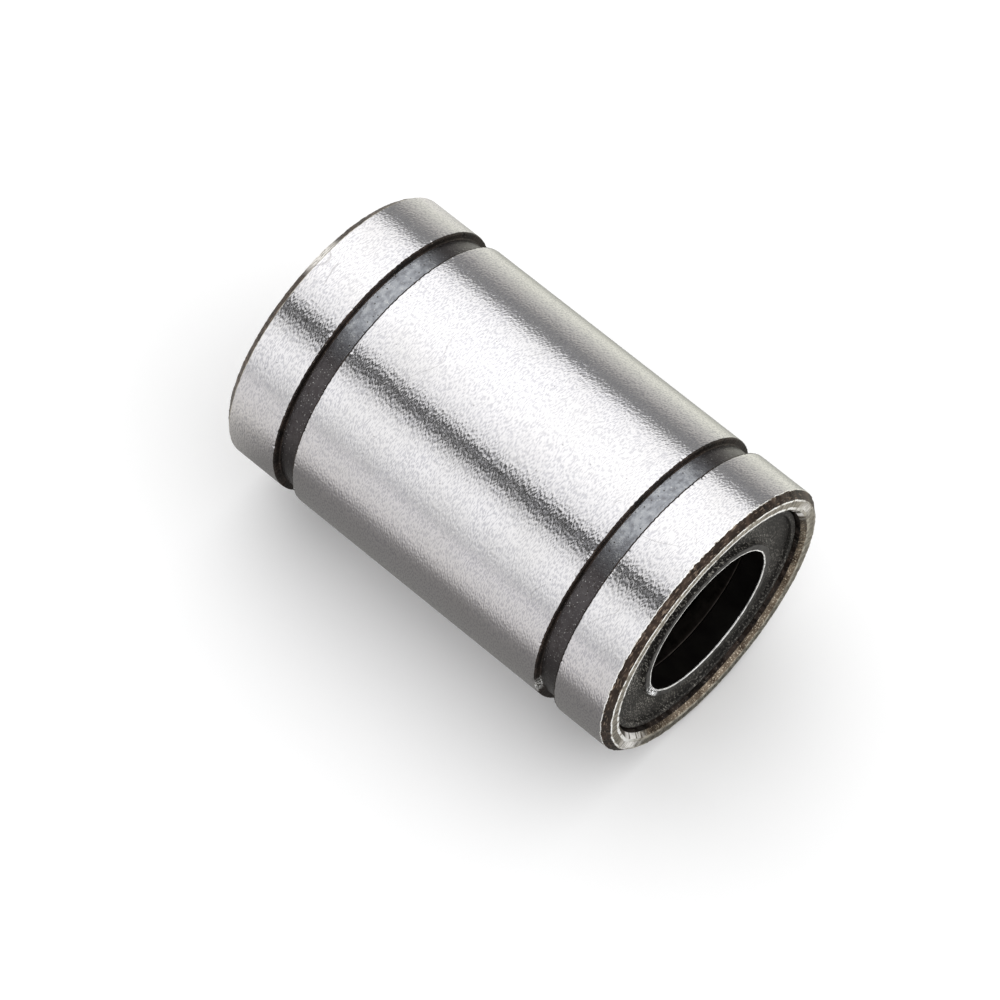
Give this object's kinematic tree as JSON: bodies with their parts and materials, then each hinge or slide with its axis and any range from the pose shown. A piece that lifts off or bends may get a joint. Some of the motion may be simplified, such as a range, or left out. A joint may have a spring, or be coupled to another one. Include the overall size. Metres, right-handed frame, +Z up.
{
  "type": "linear ball bushing",
  "caption": "Sealed linear ball bushing: a grooved, ground steel sleeve around recirculating ball circuits that run along a round shaft.",
  "frame": {"origin": "centre of the bushing, on the bore axis halfway between the end faces", "axes": "+X along the bore axis towards the front end, +Z up, with the bushing lying on its side"},
  "size_m": [0.024, 0.015, 0.015],
  "materials": {
    "ground_steel": "cylindrically ground bearing steel, fine grain round the body, blued in the grooves",
    "ball_steel": "polished bearing steel",
    "ring_steel": "dark stamped steel",
    "retainer_resin": "black moulded resin",
    "seal_rubber": "dark moulded nitrile rubber, finely speckled"
  },
  "bodies": {
    "housing": {"outer_sleeve": "ground_steel", "ball_retainer": "retainer_resin", "front_retaining_ring": "ring_steel", "rear_retaining_ring": "ring_steel", "front_seal": "seal_rubber", "rear_seal": "seal_rubber"},
    "circuit_1_loaded_row": {"circuit_1_loaded_ball_1": "ball_steel", "circuit_1_loaded_ball_2": "ball_steel", "circuit_1_loaded_ball_3": "ball_steel", "circuit_1_loaded_ball_4": "ball_steel", "circuit_1_loaded_ball_5": "ball_steel", "circuit_1_loaded_ball_6": "ball_steel"},
    "circuit_1_return_row": {"circuit_1_return_balls": "ball_steel"},
    "circuit_1_front_turn": {"circuit_1_front_turn_ball_1": "ball_steel", "circuit_1_front_turn_ball_2": "ball_steel", "circuit_1_front_turn_ball_3": "ball_steel"},
    "circuit_1_rear_turn": {"circuit_1_rear_turn_ball_1": "ball_steel", "circuit_1_rear_turn_ball_2": "ball_steel", "circuit_1_rear_turn_ball_3": "ball_steel"},
    "circuit_2_loaded_row": {"circuit_2_loaded_ball_1": "ball_steel", "circuit_2_loaded_ball_2": "ball_steel", "circuit_2_loaded_ball_3": "ball_steel", "circuit_2_loaded_ball_4": "ball_steel", "circuit_2_loaded_ball_5": "ball_steel", "circuit_2_loaded_ball_6": "ball_steel"},
    "circuit_2_return_row": {"circuit_2_return_balls": "ball_steel"},
    "circuit_2_front_turn": {"circuit_2_front_turn_ball_1": "ball_steel", "circuit_2_front_turn_ball_2": "ball_steel", "circuit_2_front_turn_ball_3": "ball_steel"},
    "circuit_2_rear_turn": {"circuit_2_rear_turn_ball_1": "ball_steel", "circuit_2_rear_turn_ball_2": "ball_steel", "circuit_2_rear_turn_ball_3": "ball_steel"},
    "circuit_3_loaded_row": {"circuit_3_loaded_ball_1": "ball_steel", "circuit_3_loaded_ball_2": "ball_steel", "circuit_3_loaded_ball_3": "ball_steel", "circuit_3_loaded_ball_4": "ball_steel", "circuit_3_loaded_ball_5": "ball_steel", "circuit_3_loaded_ball_6": "ball_steel"},
    "circuit_3_return_row": {"circuit_3_return_balls": "ball_steel"},
    "circuit_3_front_turn": {"circuit_3_front_turn_ball_1": "ball_steel", "circuit_3_front_turn_ball_2": "ball_steel", "circuit_3_front_turn_ball_3": "ball_steel"},
    "circuit_3_rear_turn": {"circuit_3_rear_turn_ball_1": "ball_steel", "circuit_3_rear_turn_ball_2": "ball_steel", "circuit_3_rear_turn_ball_3": "ball_steel"},
    "circuit_4_loaded_row": {"circuit_4_loaded_ball_1": "ball_steel", "circuit_4_loaded_ball_2": "ball_steel", "circuit_4_loaded_ball_3": "ball_steel", "circuit_4_loaded_ball_4": "ball_steel", "circuit_4_loaded_ball_5": "ball_steel", "circuit_4_loaded_ball_6": "ball_steel"},
    "circuit_4_return_row": {"circuit_4_return_balls": "ball_steel"},
    "circuit_4_front_turn": {"circuit_4_front_turn_ball_1": "ball_steel", "circuit_4_front_turn_ball_2": "ball_steel", "circuit_4_front_turn_ball_3": "ball_steel"},
    "circuit_4_rear_turn": {"circuit_4_rear_turn_ball_1": "ball_steel", "circuit_4_rear_turn_ball_2": "ball_steel", "circuit_4_rear_turn_ball_3": "ball_steel"}
  },
  "joints": [
    {"name": "circuit_1_loaded_slide", "type": "slide", "parent": "housing", "child": "circuit_1_loaded_row", "axis": [1, 0, 0], "range_m": [-0.0008, 0.0008]},
    {"name": "circuit_1_return_slide", "type": "slide", "parent": "housing", "child": "circuit_1_return_row", "axis": [1, 0, 0], "range_m": [-0.0008, 0.0008]},
    {"name": "circuit_1_front_turn_hinge", "type": "hinge", "parent": "housing", "child": "circuit_1_front_turn", "pos_m": [0.0048, 0.00489, 0.0001], "axis": [0, -0.9764, 0.216], "range_deg": [-30.01, 30.01]},
    {"name": "circuit_1_rear_turn_hinge", "type": "hinge", "parent": "housing", "child": "circuit_1_rear_turn", "pos_m": [-0.0048, 0.00489, 0.0001], "axis": [0, -0.9764, 0.216], "range_deg": [-30.01, 30.01]},
    {"name": "circuit_2_loaded_slide", "type": "slide", "parent": "housing", "child": "circuit_2_loaded_row", "axis": [1, 0, 0], "range_m": [-0.0008, 0.0008]},
    {"name": "circuit_2_return_slide", "type": "slide", "parent": "housing", "child": "circuit_2_return_row", "axis": [1, 0, 0], "range_m": [-0.0008, 0.0008]},
    {"name": "circuit_2_front_turn_hinge", "type": "hinge", "parent": "housing", "child": "circuit_2_front_turn", "pos_m": [0.0048, -0.0001, 0.00489], "axis": [0, -0.216, -0.9764], "range_deg": [-30.01, 30.01]},
    {"name": "circuit_2_rear_turn_hinge", "type": "hinge", "parent": "housing", "child": "circuit_2_rear_turn", "pos_m": [-0.0048, -0.0001, 0.00489], "axis": [0, -0.216, -0.9764], "range_deg": [-30.01, 30.01]},
    {"name": "circuit_3_loaded_slide", "type": "slide", "parent": "housing", "child": "circuit_3_loaded_row", "axis": [1, 0, 0], "range_m": [-0.0008, 0.0008]},
    {"name": "circuit_3_return_slide", "type": "slide", "parent": "housing", "child": "circuit_3_return_row", "axis": [1, 0, 0], "range_m": [-0.0008, 0.0008]},
    {"name": "circuit_3_front_turn_hinge", "type": "hinge", "parent": "housing", "child": "circuit_3_front_turn", "pos_m": [0.0048, -0.00489, -0.0001], "axis": [0, 0.9764, -0.216], "range_deg": [-30.01, 30.01]},
    {"name": "circuit_3_rear_turn_hinge", "type": "hinge", "parent": "housing", "child": "circuit_3_rear_turn", "pos_m": [-0.0048, -0.00489, -0.0001], "axis": [0, 0.9764, -0.216], "range_deg": [-30.01, 30.01]},
    {"name": "circuit_4_loaded_slide", "type": "slide", "parent": "housing", "child": "circuit_4_loaded_row", "axis": [1, 0, 0], "range_m": [-0.0008, 0.0008]},
    {"name": "circuit_4_return_slide", "type": "slide", "parent": "housing", "child": "circuit_4_return_row", "axis": [1, 0, 0], "range_m": [-0.0008, 0.0008]},
    {"name": "circuit_4_front_turn_hinge", "type": "hinge", "parent": "housing", "child": "circuit_4_front_turn", "pos_m": [0.0048, 0.0001, -0.00489], "axis": [0, 0.216, 0.9764], "range_deg": [-30.01, 30.01]},
    {"name": "circuit_4_rear_turn_hinge", "type": "hinge", "parent": "housing", "child": "circuit_4_rear_turn", "pos_m": [-0.0048, 0.0001, -0.00489], "axis": [0, 0.216, 0.9764], "range_deg": [-30.01, 30.01]}
  ],
  "couplings": [
    {"joint": "circuit_1_return_slide", "follows": "circuit_1_loaded_slide", "ratio": -1},
    {"joint": "circuit_1_front_turn_hinge", "follows": "circuit_1_loaded_slide", "rad_per_m": 654.5},
    {"joint": "circuit_1_rear_turn_hinge", "follows": "circuit_1_loaded_slide", "rad_per_m": 654.5},
    {"joint": "circuit_2_return_slide", "follows": "circuit_2_loaded_slide", "ratio": -1},
    {"joint": "circuit_2_front_turn_hinge", "follows": "circuit_2_loaded_slide", "rad_per_m": 654.5},
    {"joint": "circuit_2_rear_turn_hinge", "follows": "circuit_2_loaded_slide", "rad_per_m": 654.5},
    {"joint": "circuit_3_return_slide", "follows": "circuit_3_loaded_slide", "ratio": -1},
    {"joint": "circuit_3_front_turn_hinge", "follows": "circuit_3_loaded_slide", "rad_per_m": 654.5},
    {"joint": "circuit_3_rear_turn_hinge", "follows": "circuit_3_loaded_slide", "rad_per_m": 654.5},
    {"joint": "circuit_4_return_slide", "follows": "circuit_4_loaded_slide", "ratio": -1},
    {"joint": "circuit_4_front_turn_hinge", "follows": "circuit_4_loaded_slide", "rad_per_m": 654.5},
    {"joint": "circuit_4_rear_turn_hinge", "follows": "circuit_4_loaded_slide", "rad_per_m": 654.5}
  ]
}
